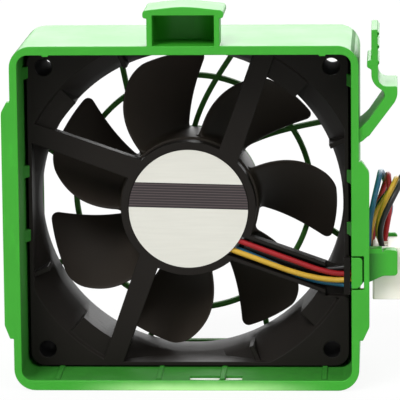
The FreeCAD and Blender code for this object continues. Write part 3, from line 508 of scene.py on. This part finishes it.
def guard_shells():
    """The rings, spokes, boss and lip, each as a closed skin.

    A spoke leans back on its way out: its angle in degrees is a cubic of its radius in
    centimetres.  Every second one ends at the lip's sides and the rest reach into its corners.
    The lip's opening has a round edge: a half turn of loops, each inset by 1 minus a cosine.
    """
    middle, half_deep = (GUARD_FRONT + GUARD_BACK) / 2, (GUARD_BACK - GUARD_FRONT) / 2
    half_bar, rings, spokes, boss = 0.7, (30.2, 16.4), 8, 4.0
    spoke_start, spoke_sides, spoke_corners = 2.5, 40.6, 46.0
    opening, opening_corner, lip_corner, edge = 38.6, 9.5, 2.6, 0.5
    bar = pill(half_bar, half_deep)
    shells = [bar_along(circle(radius), bar, middle, closed=True) for radius in rings]
    for number in range(spokes):
        radius = np.linspace(spoke_start, spoke_corners if number % 2 else spoke_sides, 60)
        lean = np.polyval((0.206, -0.655, -8.551, 104.195), radius / 10)
        turn = np.radians(lean + number * 360 / spokes)
        path = np.stack([AXIS_X + radius * np.cos(turn), AXIS_Z + radius * np.sin(turn)], axis=1)
        shells.append(bar_along(path, bar, middle))
    shells.append(turned([(0, GUARD_FRONT), (boss - edge, GUARD_FRONT), (boss, GUARD_FRONT + edge),
                          (boss, GUARD_BACK - edge), (boss - edge, GUARD_BACK), (0, GUARD_BACK)], 48))
    outside = rounded_box(GUARD_HALF, GUARD_LOW, GUARD_HIGH, lip_corner)
    loops = [(outside, GUARD_FRONT), (outside, GUARD_BACK)]
    for swing in np.linspace(np.pi / 2, -np.pi / 2, 7):
        inset = edge * (1 - np.cos(swing))
        half = opening + inset
        depth = middle + np.sign(np.sin(swing)) * (half_deep - edge) + edge * np.sin(swing)
        loops.append((rounded_box(half, AXIS_Z - half, AXIS_Z + half, opening_corner + inset), depth))
    points = np.stack([np.stack([loop[:, 0], np.full(len(loop), depth), loop[:, 1]], axis=1)
                       for loop, depth in loops])
    shells.append(lattice(points, around=True, along=True))
    return shells


make_piece("finger_guard_moulding", guard_shells(), green, "carrier", "finger_guard")


# ---------------------------------------------------------------- bracket and cable tab
# The bracket holds the plug on the right wall, and the tab closes the wire
# slot at the rim.  Both belong to the green moulding.

for node in ("connector_bracket", "cable_tab"):
    softened(node, 0.2, green)


# ---------------------------------------------------------------- latch
# A springy arm moulded onto the right wall, that bends in when its ribbed grip is
# pressed.  Its root piece stays with the wall; the arm is baked in place and not bent.


def prism(outline, low, high, edge=0.2):
    """A convex (x, z) outline between two depths as (points, faces).

    Rows go from the middle of one end to the middle of the other.  The outline shrinks towards
    its middle by edge millimetres at both ends, for a small chamfer.
    """
    outline = np.asarray(outline, float)
    middle = outline.mean(axis=0)
    spoke = outline - middle
    shrunk = middle + spoke * (1 - edge / np.linalg.norm(spoke, axis=1, keepdims=True))
    point = np.broadcast_to(middle, outline.shape)
    rows = ((point, low), (shrunk, low), (outline, low + edge), (outline, high - edge), (shrunk, high),
            (point, high))
    points = np.stack([np.stack([flat[:, 0], np.full(len(flat), depth), flat[:, 1]], axis=1)
                       for flat, depth in rows])
    return lattice(points, around=True)


latch = softened("release_latch", 0.22, green, body=None)
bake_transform(latch)
# the root's last piece joins the arm to the wall, just inside the arm's two faces
latch_front, latch_back = (corner.y * 1000 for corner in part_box("release_latch"))
root_outline = [(42.5, 61.6), (43.7, 62.3), (45.0, 63.5), (45.5, 64.4), (45.2, 66.2), (44.1, 66.3),
                (42.5, 65.2)]
make_piece("latch_root", [prism(root_outline, latch_front + 0.1, latch_back - 0.1)], green, "carrier",
           crisp=30)


# ---------------------------------------------------------------- fan frame
# Black glass-filled PBT in one moulding: the square frame with its flared
# duct, the four struts and the cup that carries the motor.

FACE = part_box("fan_frame")[0].y * 1000
HOLE_OFFSET, HOLE_RADIUS = 35.75, 2.4


def hole_shadow(finish, shade, dull):
    """Painted shadow on the walls of the four screw holes: they are made near black, and fully rough.
    """
    x, y, z = finish.axes()
    aside, above = abs(x - AXIS_X) - HOLE_OFFSET, abs(z - AXIS_Z) - HOLE_OFFSET
    inside = ((aside * aside + above * above) ** 0.5 < HOLE_RADIUS) * (y > FACE + 0.35)
    return finish.mix(inside, shade, (0.0015, 0.0015, 0.0015)), dull + (0.95 - dull) * inside


black = moulded("frame_plastic", (0.0115, 0.0098, 0.0085), 0.52, spread=0.25, grain=0.02, scuff=0.04,
                mark=hole_shadow, Specular_IOR_Level=0.08)
fan = softened("fan_frame", 0.18, black)
# a strap on the frame's edge holds the wires down in the trough: a bar and a leg at each end
strap_inner, strap_outer, strap_low, strap_high, leg = 38.75, 40.3, 21.3, 30.8, 0.8
strap_parts = ((strap_low, strap_high, -7.75, -6.85),
               (strap_low, strap_low + leg, -7.4, -5.9),
               (strap_high - leg, strap_high, -7.4, -5.9))
make_piece("wire_strap", [prism([(strap_inner, foot), (strap_outer, foot), (strap_outer, head),
                                 (strap_inner, head)], front, back)
                          for foot, head, front, back in strap_parts],
           black, "carrier", crisp=30)


# ---------------------------------------------------------------- label
# A round foil disc on the motor's cup.  It is satin silver with one dark band
# of fine printed stripes, a little out of level, and carries no words.

label = Finish("label_film")
across, _, height = label.axes()
brush = label.noise(0.6, detail=2.0, vector=label.stretched(0.06, 1.0, 1.0))
band_middle, band_half, band_tilt, stripe_pitch = 46.2, 3.15, 0.026, 0.66
level = height + across * band_tilt - (band_middle - band_half)
band = between(level, 0.0, 2 * band_half)
stripe = label.step(level.math("FRACT", level / stripe_pitch), 0.70, 0.82) * band
silver = label.mix(brush, (0.61, 0.60, 0.545), (0.69, 0.68, 0.62))
ink = label.mix(stripe, (0.010, 0.005, 0.006), (0.085, 0.060, 0.062))
label.feed(Base_Color=label.mix(band, silver, ink), Roughness=0.34 + brush * 0.1 + band * 0.1,
           Metallic=0.35 - band * 0.35)


def dress(finish, *names):
    """Gives CAD nodes that keep their own shape a finish."""
    for name in names:
        NODES[name].data.materials.clear()
        NODES[name].data.materials.append(finish.owner)


dress(label, "label_disc")


# ---------------------------------------------------------------- impeller
# Seven swept, twisted blades and the cup that covers the motor, moulded in one
# in black PBT.  Blade corners are rounded and a fillet joins each to the hub.

BLADES, HUB_RADIUS, TIP_RADIUS = 7, 17.4, 36.9
HUB_FRONT, HUB_BACK, CUP_BACK, CUP_RADIUS = 5.2, 24.2, 22.2, 16.0
TIP_ANGLE, LEAD_DEPTH, BLADE_THICK = 84.0, 22.6, 1.5


def blade_shell(number):
    """One blade as a closed skin: stations go out along the radius and points round each section.

    With u the radius from 14 to 38 mm as 0 to 1, the lead angle, the swept angle, the trail depth
    and the thickness are polynomials of u.  Along the chord a, from 0 to 1, depth runs from lead
    to trail as 0.6a + 0.4a squared.  The skin lies half the thickness off that line, fuller near
    the middle by a sine, and a hyperbolic tangent rounds its two ends.  A quarter circle flares
    it out at the hub and cuts the chord's ends short at the tip, and the last stations close it.
    """
    corner, fillet, root_start, root_end = 2.2, 1.3, 16.6, 19.5
    corner_start, section_points, blunt = TIP_RADIUS - corner, 72, 4.4
    radius = np.concatenate([np.linspace(root_start, root_end, 9)[:-1],
                             np.linspace(root_end, corner_start, 22)[:-1],
                             corner_start + corner * np.sin(np.linspace(0, np.pi / 2, 10)),
                             [TIP_RADIUS]])[:, None]
    u = (radius - 14) / 24
    lead = np.polyval((5.42, -10.23, -5.69, 10.0), u)
    spread = np.polyval((-19.31, 3.99, 0.32, 40.0), u)
    trail = np.polyval((4.89, -1.83, 0.12, 7.38), u)
    thick = BLADE_THICK * np.polyval((-0.02, -0.46, 1.14), u)
    chord = radius * np.radians(spread)
    from_tip = np.clip(radius - corner_start, 0, corner)
    cut = (corner - np.sqrt(corner ** 2 - from_tip ** 2)) / chord
    phase = np.linspace(0, 2 * np.pi, section_points, endpoint=False)[None]
    a = cut + (1 - 2 * cut) * (1 - np.cos(phase)) / 2
    root = np.clip(1 - (radius - HUB_RADIUS) / fillet, 0, 1)
    flare = fillet * (1 - np.sqrt(1 - root ** 2))
    half = thick / 2 * (0.45 + 0.55 * np.sin(np.pi * (0.06 + 0.9 * a))) + flare
    tip = np.ones_like(radius)
    tip[-3:, 0] = 0.92, 0.7, 0.0
    offset = half * tip * np.tanh(blunt * np.sin(phase))
    rise = trail - LEAD_DEPTH
    slope = np.arctan2(rise * (0.6 + 0.8 * a), chord)
    turn = np.radians(TIP_ANGLE + lead + spread * a + number * 360 / BLADES)
    turn = turn + np.sin(-slope) * offset / radius
    depth = LEAD_DEPTH + rise * (0.6 * a + 0.4 * a ** 2) + np.cos(slope) * offset
    x = AXIS_X + radius * np.cos(turn)
    z = AXIS_Z + radius * np.sin(turn)
    return lattice(np.stack([x, FACE + depth, z], axis=-1), around=True)


def arc(centre, radius, start, stop, count):
    """Points on a circle of (radius, y) between two angles in degrees."""
    turn = np.radians(np.linspace(start, stop, count))
    return [(centre[0] + radius * math.cos(t), centre[1] + radius * math.sin(t)) for t in turn]


def hub_shell():
    """The cup's wall and end: a closed profile turned round the axis, with a shallow dish behind."""
    front, back, inside = FACE + HUB_FRONT, FACE + HUB_BACK, FACE + CUP_BACK
    lip, corner, dish = 0.3, 1.6, back - 0.35
    dish_outer, dish_inner, slope = 10.2, 3.0, 0.4
    profile = [(0, inside), (CUP_RADIUS, inside), (CUP_RADIUS, front), (HUB_RADIUS - lip, front)]
    profile += arc((HUB_RADIUS - lip, front + lip), lip, -90, 0, 4)
    profile += arc((HUB_RADIUS - corner, back - corner), corner, 0, 90, 9)
    profile += [(dish_outer, back), (dish_outer - slope, dish), (dish_inner + slope, dish),
                (dish_inner, back), (0, back)]
    return turned(profile, 144)


blade = moulded("blade_plastic", (0.0235, 0.0185, 0.0145), 0.50, spread=0.3, grain=0.008, scuff=0.08,
                Specular_IOR_Level=0.12)
make_piece("impeller_moulding", [blade_shell(number) for number in range(BLADES)] + [hub_shell()],
           blade, "rotor", "impeller", crisp=50)


# ---------------------------------------------------------------- yoke and magnet
# A deep-drawn steel cup pressed into the hub, and the ring magnet of bonded
# ferrite glued inside it.


def drawn_steel(name, colour, rough):
    """Cold-drawn sheet: streaks along the axis and a faint oily mottle."""
    finish = Finish(name)
    streak = finish.noise(0.8, detail=3.0, roughness=0.6, vector=finish.stretched(1.0, 0.08, 1.0))
    mottle = finish.noise(4.0)
    shade = finish.mix(mottle, tint(colour, -0.12), tint(colour, 0.1))
    return finish.feed(Base_Color=shade, Metallic=1.0, Roughness=rough + streak * 0.14,
                       Normal=finish.bump(streak, 0.01))


def ferrite(name):
    """Bonded ferrite: dark grey with fine grit and pale edges of powder."""
    finish = Finish(name)
    grit = finish.noise(0.22, detail=3.0, roughness=0.7)
    dust = finish.step(finish.noise(2.6, detail=4.0), 0.55, 0.75)
    shade = finish.mix(grit, (0.035, 0.033, 0.032), (0.075, 0.072, 0.070))
    return finish.feed(Base_Color=finish.mix(dust * 0.3, shade, (0.16, 0.15, 0.14)),
                       Roughness=0.7 + grit * 0.2, Normal=finish.bump(grit, 0.03))


dress(drawn_steel("yoke_steel", (0.42, 0.42, 0.43), 0.32), "rotor_yoke")
dress(ferrite("magnet"), "ring_magnet")


# ---------------------------------------------------------------- shaft and its fittings
# A ground steel shaft in a turned brass bush, held by an open spring ring and
# preloaded by a pair of dished washers.


def radius_of(finish):
    """Distance from the fan's axis, and depth along it, in millimetres."""
    x, y, z = finish.axes()
    return ((x - AXIS_X) ** 2.0 + (z - AXIS_Z) ** 2.0) ** 0.5, y


def ripples(finish, distance, pitch):
    """A wave from 0 to 1 that repeats every pitch millimetres."""
    wave = distance * (2 * math.pi / pitch)
    return wave.math("SINE", wave) * 0.5 + 0.5


def lathe_metal(name, colour, rough, pitch=0.16, depth=0.004):
    """Turned or ground metal: fine rings about the axis, broken up by soft noise."""
    finish = Finish(name)
    distance, depth_along = radius_of(finish)
    waver = finish.noise(1.6)
    rings = ripples(finish, distance + depth_along + waver * 0.08, pitch)
    shade = finish.mix(waver, tint(colour, -0.08), tint(colour, 0.08))
    return finish.feed(Base_Color=shade, Metallic=1.0, Roughness=rough + waver * 0.1 + rings * 0.05,
                       Normal=finish.bump(rings, depth))


dress(lathe_metal("bright_steel", (0.60, 0.60, 0.62), 0.12), "shaft")
dress(lathe_metal("brass", (0.66, 0.46, 0.17), 0.22, pitch=0.22, depth=0.008), "shaft_bush")
dress(drawn_steel("spring_steel", (0.36, 0.36, 0.38), 0.28), "retaining_ring", "preload_washers")


# ---------------------------------------------------------------- bearings
# Two small ball bearings: ground rings with raceways, polished balls and a
# crown cage of pressed steel in each.

race_steel = lathe_metal("race_steel", (0.55, 0.55, 0.57), 0.14, pitch=0.12, depth=0.003)
ball_steel = Finish("ball_steel")
haze = ball_steel.noise(0.5)
ball_steel.feed(Base_Color=ball_steel.mix(haze, (0.62, 0.62, 0.64), (0.72, 0.72, 0.74)),
                Metallic=1.0, Roughness=0.05 + haze * 0.07)
cage_steel = drawn_steel("cage_steel", (0.40, 0.37, 0.31), 0.34)
for bearing in ("near_bearing", "far_bearing"):
    dress(race_steel, bearing + "_outer_ring", bearing + "_inner_ring")
    dress(ball_steel, bearing + "_balls")
    dress(cage_steel, bearing + "_cage")


# ---------------------------------------------------------------- stator
# A stack of varnished steel sheets between two white nylon insulators, with
# enamelled copper wound on its four poles.


def sheet_stack(name):
    """Laminations: a dark seam every 0.35 mm of depth, under thin varnish."""
    finish = Finish(name)
    _, y, _ = finish.axes()
    seam = ripples(finish, y, 0.35) ** 6.0
    mottle = finish.noise(1.8)
    shade = finish.mix(mottle, (0.20, 0.20, 0.21), (0.32, 0.32, 0.33))
    return finish.feed(Base_Color=finish.mix(seam * 0.7, shade, (0.05, 0.04, 0.035)),
                       Metallic=0.8 - seam * 0.5, Roughness=0.36 + mottle * 0.14,
                       Normal=finish.bump(1.0 - seam, 0.03))


def nylon(name):
    """Natural nylon: milky, faintly clouded, with a fine moulded skin."""
    finish = Finish(name)
    cloud = finish.noise(5.0)
    skin = finish.noise(0.3, detail=2.0)
    shade = finish.mix(cloud, (0.74, 0.71, 0.62), (0.84, 0.82, 0.75))
    return finish.feed(Base_Color=shade, Roughness=0.38 + cloud * 0.12, Normal=finish.bump(skin, 0.01),
                       Subsurface_Weight=0.2, Subsurface_Scale=0.002, Subsurface_Radius=(1.0, 0.9, 0.7))


def copper_winding(name):
    """Layers of enamelled wire: rounded ridges 0.2 mm apart across each bundle."""
    finish = Finish(name)
    distance, _ = radius_of(finish)
    ridge = ripples(finish, distance, 0.2)
    mottle = finish.noise(1.0)
    shade = finish.mix(mottle, (0.42, 0.13, 0.05), (0.60, 0.22, 0.08))
    # painted shade: the grooves between the ridges are darkened towards deep copper
    return finish.feed(Base_Color=finish.mix(ridge, (0.18, 0.05, 0.02), shade), Metallic=0.85,
                       Roughness=0.25 + mottle * 0.1, Normal=finish.bump(ridge, 0.06))


white = nylon("white_nylon")
dress(sheet_stack("core_steel"), "stator_core")
dress(white, "label_side_insulator", "hub_side_insulator")
dress(copper_winding("enamelled_copper"), "stator_windings")


# ---------------------------------------------------------------- circuit board
# A ring of green-masked laminate under the stator with the position sensor,
# the driver chip and three chip capacitors soldered on.


def masked_board(name):
    """Solder mask over copper: broad tracks show as paler bands under a glossy green skin."""
    finish = Finish(name)
    distance, _ = radius_of(finish)
    wander = finish.noise(3.0, detail=2.0)
    track = finish.step(ripples(finish, distance + wander * 1.6, 1.7), 0.45, 0.6)
    shade = finish.mix(track, (0.010, 0.060, 0.030), (0.022, 0.115, 0.050))
    return finish.feed(Base_Color=shade, Roughness=0.28 + wander * 0.1, Normal=finish.bump(track, 0.03))


def speckled(name, dark, pale, rough):
    """Fine filler in epoxy or ceramic: dark and pale specks a tenth of a millimetre across."""
    finish = Finish(name)
    speck = finish.noise(0.12, detail=2.0)
    return finish.feed(Base_Color=finish.mix(speck, dark, pale), Roughness=rough + speck * 0.15,
                       Normal=finish.bump(speck, 0.008))


dress(masked_board("circuit_board"), "circuit_board")
dress(speckled("chip_black", (0.012, 0.012, 0.013), (0.030, 0.030, 0.032), 0.5),
      "hall_sensor", "driver_ic")
dress(speckled("chip_tan", (0.36, 0.25, 0.15), (0.52, 0.38, 0.25), 0.4), "chip_capacitors")


# ---------------------------------------------------------------- plug
# A white nylon housing with a cavity for each of four crimped terminals.  It
# snaps into the bracket and faces down to a header on the board below.

plug = softened("connector_housing", 0.25, white)
dress(drawn_steel("tinned_brass", (0.58, 0.57, 0.52), 0.24), "connector_terminals")


# ---------------------------------------------------------------- wires
# Four stranded leads in soft vinyl, 1.4 mm over the insulation.  They leave
# the motor's board, lie in the trough, pass the slot and loop down to the plug.


def vinyl(name, colour):
    """Soft insulation: fine drawing lines, a faint bloom and a satin shine."""
    finish = Finish(name)
    bloom = finish.noise(2.5)
    grain = finish.noise(0.25, detail=2.0)
    shade = finish.mix(bloom, tint(colour, -0.18), tint(colour, 0.18))
    return finish.feed(Base_Color=shade, Roughness=0.30 + bloom * 0.14, Normal=finish.bump(grain, 0.02),
                       Specular_IOR_Level=0.25, Coat_Weight=0.05, Coat_Roughness=0.3)


# the routes run from the board to the plug, in metres
WIRE_COLOURS = {"wire_red": (0.30, 0.010, 0.014), "wire_yellow": (0.52, 0.315, 0.032),
                "wire_black": (0.012, 0.011, 0.011), "wire_blue": (0.022, 0.135, 0.23)}
WIRE_DIAMETER = 0.0014
WIRE_ROUTES = {
    "wire_red": [
        (0.0111, -0.0047, 0.0352), (0.0136, -0.0050, 0.0343), (0.0195, -0.0052, 0.0321),
        (0.0261, -0.0051, 0.0297), (0.0325, -0.0052, 0.0273), (0.0380, -0.0051, 0.0261),
        (0.0424, -0.0049, 0.0266), (0.0450, -0.0046, 0.0304), (0.0460, -0.0034, 0.0360),
        (0.0465, 0.0004, 0.0410), (0.0481, 0.0041, 0.0449), (0.0493, 0.0044, 0.0486),
        (0.0498, -0.0016, 0.0514), (0.0499, -0.0048, 0.0503), (0.0503, -0.0068, 0.0462),
        (0.0501, -0.0066, 0.0420), (0.0493, -0.0056, 0.0376), (0.0487, -0.0052, 0.0333)],
    "wire_yellow": [
        (0.0100, -0.0047, 0.0326), (0.0126, -0.0051, 0.0317), (0.0186, -0.0051, 0.0295),
        (0.0249, -0.0052, 0.0271), (0.0312, -0.0051, 0.0253), (0.0374, -0.0053, 0.0246),
        (0.0420, -0.0060, 0.0252), (0.0448, -0.0076, 0.0292), (0.0450, -0.0080, 0.0352),
        (0.0461, -0.0062, 0.0408), (0.0488, -0.0032, 0.0448), (0.0511, -0.0030, 0.0484),
        (0.0521, -0.0070, 0.0514), (0.0510, -0.0112, 0.0496), (0.0493, -0.0117, 0.0461),
        (0.0480, -0.0108, 0.0428), (0.0471, -0.0096, 0.0390), (0.0476, -0.0088, 0.0358),
        (0.0487, -0.0086, 0.0333)],
    "wire_black": [
        (0.0139, -0.0036, 0.0332), (0.0195, -0.0036, 0.0312), (0.0257, -0.0037, 0.0288),
        (0.0319, -0.0037, 0.0271), (0.0382, -0.0038, 0.0275), (0.0424, -0.0047, 0.0287),
        (0.0446, -0.0064, 0.0332), (0.0453, -0.0053, 0.0394), (0.0475, -0.0020, 0.0438),
        (0.0505, -0.0002, 0.0470), (0.0531, -0.0014, 0.0503), (0.0538, -0.0064, 0.0517),
        (0.0526, -0.0122, 0.0499), (0.0506, -0.0145, 0.0464), (0.0488, -0.0144, 0.0428),
        (0.0478, -0.0134, 0.0392), (0.0479, -0.0123, 0.0358), (0.0487, -0.0120, 0.0333)],
    "wire_blue": [
        (0.0117, -0.0035, 0.0324), (0.0186, -0.0036, 0.0297), (0.0249, -0.0037, 0.0266),
        (0.0312, -0.0039, 0.0243), (0.0374, -0.0040, 0.0236), (0.0422, -0.0060, 0.0233),
        (0.0447, -0.0092, 0.0276), (0.0449, -0.0098, 0.0338), (0.0451, -0.0095, 0.0400),
        (0.0463, -0.0082, 0.0458), (0.0475, -0.0046, 0.0503), (0.0479, 0.0006, 0.0517),
        (0.0485, 0.0052, 0.0499), (0.0498, 0.0070, 0.0452), (0.0505, 0.0050, 0.0412),
        (0.0498, 0.0015, 0.0392), (0.0488, -0.0013, 0.0372), (0.0487, -0.0018, 0.0333)],
}


def lay_wire(name, route, finish):
    """One smooth NURBS line with the route's points as its controls, swelled to a round wire."""
    curve = bpy.data.curves.new(name, "CURVE")
    curve.dimensions = "3D"
    line = curve.splines.new("NURBS")
    line.points.add(len(route) - 1)
    for control, point in zip(line.points, route):
        control.co = (*point, 1.0)
    line.order_u, line.use_endpoint_u = 3, True
    line.resolution_u = 10
    curve.bevel_depth, curve.bevel_resolution = WIRE_DIAMETER / 2, 5
    curve.use_fill_caps = True
    curve.materials.append(finish.owner)
    wire = bpy.data.objects.new("lead_" + name.split("_")[1], curve)
    bpy.context.scene.collection.objects.link(wire)
    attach(wire, "carrier")
    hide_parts(name)
    return wire


for name, route in WIRE_ROUTES.items():
    wire = lay_wire(name, route, vinyl(name, WIRE_COLOURS[name]))
